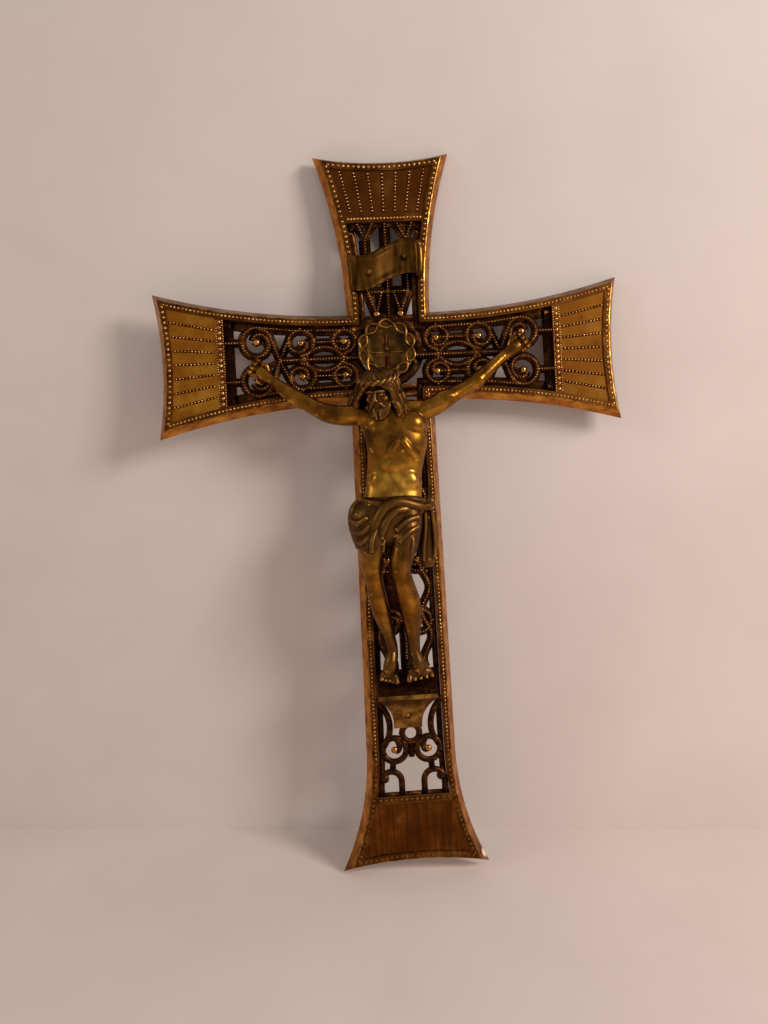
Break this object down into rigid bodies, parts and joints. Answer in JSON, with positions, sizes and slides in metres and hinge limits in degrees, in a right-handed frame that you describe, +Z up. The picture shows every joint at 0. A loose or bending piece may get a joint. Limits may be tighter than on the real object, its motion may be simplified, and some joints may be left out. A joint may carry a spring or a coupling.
{
  "type": "crucifix",
  "caption": "Wall crucifix of patinated brass: flared cross with openwork scroll panels, beaded borders, cast figure, title ribbon, footrest and a hanging ring behind the top arm.",
  "frame": {"origin": "Middle of the back rim's lower edge, on the wall, at the foot of the cross", "axes": "+X along the cross beam to the viewer's right, +Y square to the wall and into it (the figure faces -Y), +Z up the shaft"},
  "size_m": [0.182, 0.0223, 0.28],
  "materials": {
    "worn_brass": "dark patina with worn gold rims",
    "dark_brass": "dark brown patina",
    "bead_brass": "worn bright on the crests",
    "cast_brass": "cast, brown patina with rubbed highlights"
  },
  "bodies": {
    "cross": {"cross_frame": "worn_brass", "beam_scrollwork": "dark_brass", "upper_scrollwork": "dark_brass", "shaft_scrollwork": "dark_brass", "scroll_beads": "bead_brass", "border_beading": "bead_brass", "fan_rays": "bead_brass", "title_scroll": "worn_brass", "title_pins": "bead_brass", "nimbus": "worn_brass", "nimbus_rivet": "bead_brass", "corpus_body": "cast_brass", "corpus_right_arm": "cast_brass", "corpus_left_arm": "cast_brass", "hand_nails": "bead_brass", "foot_nails": "bead_brass", "footrest": "worn_brass", "footrest_rivet": "bead_brass", "hanger_staple": "dark_brass"},
    "ring": {"hanging_ring": "dark_brass"}
  },
  "joints": [
    {"name": "ring_swing", "type": "hinge", "parent": "cross", "child": "ring", "pos_m": [0, -0.0023, 0.2612], "axis": [1, 0, 0], "range_deg": [0, 165]}
  ]
}
